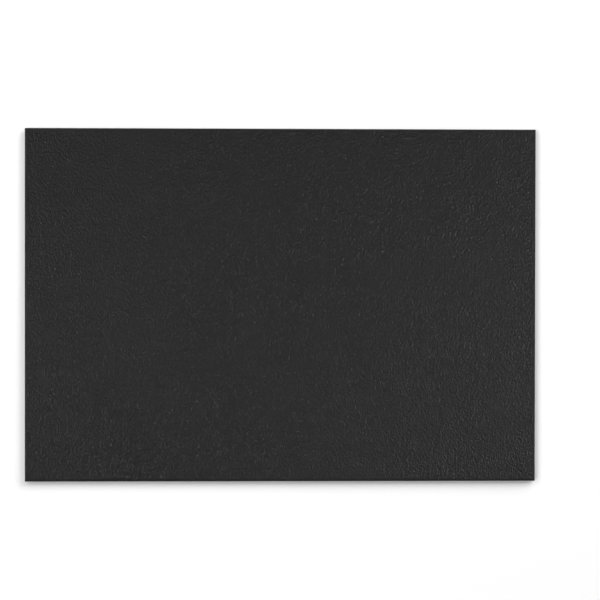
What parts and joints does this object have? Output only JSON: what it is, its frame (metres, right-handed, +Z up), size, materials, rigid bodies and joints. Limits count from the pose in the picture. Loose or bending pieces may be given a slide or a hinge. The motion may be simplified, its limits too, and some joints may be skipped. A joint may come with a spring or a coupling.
{
  "type": "kick plate",
  "caption": "Flat rectangular door kick plate of black grained plastic with square corners and no holes, fixed by double-sided foam tape strips under peel-off liners.",
  "frame": {"origin": "middle of the plate on the bonding plane, where it meets the door", "axes": "+X across the door to the right as seen from in front, +Y from the plate's face into the door, +Z up"},
  "size_m": [0.2944, 0.0044, 0.2032],
  "materials": {
    "sheet": "satin",
    "foam_tape": "matte",
    "release_liner": "satin"
  },
  "bodies": {
    "plate": {"face_plate": "sheet", "top_tape": "foam_tape", "bottom_tape": "foam_tape", "left_tape": "foam_tape", "right_tape": "foam_tape", "middle_tape": "foam_tape"},
    "top_liner": {"top_liner": "release_liner"},
    "bottom_liner": {"bottom_liner": "release_liner"},
    "left_liner": {"left_liner": "release_liner"},
    "right_liner": {"right_liner": "release_liner"},
    "middle_liner": {"middle_liner": "release_liner"}
  },
  "joints": [
    {"name": "top_liner_peel", "type": "slide", "parent": "plate", "child": "top_liner", "axis": [0, 1, 0], "range_m": [0, 0.04]},
    {"name": "bottom_liner_peel", "type": "slide", "parent": "plate", "child": "bottom_liner", "axis": [0, 1, 0], "range_m": [0, 0.04]},
    {"name": "left_liner_peel", "type": "slide", "parent": "plate", "child": "left_liner", "axis": [0, 1, 0], "range_m": [0, 0.04]},
    {"name": "right_liner_peel", "type": "slide", "parent": "plate", "child": "right_liner", "axis": [0, 1, 0], "range_m": [0, 0.04]},
    {"name": "middle_liner_peel", "type": "slide", "parent": "plate", "child": "middle_liner", "axis": [0, 1, 0], "range_m": [0, 0.04]}
  ]
}
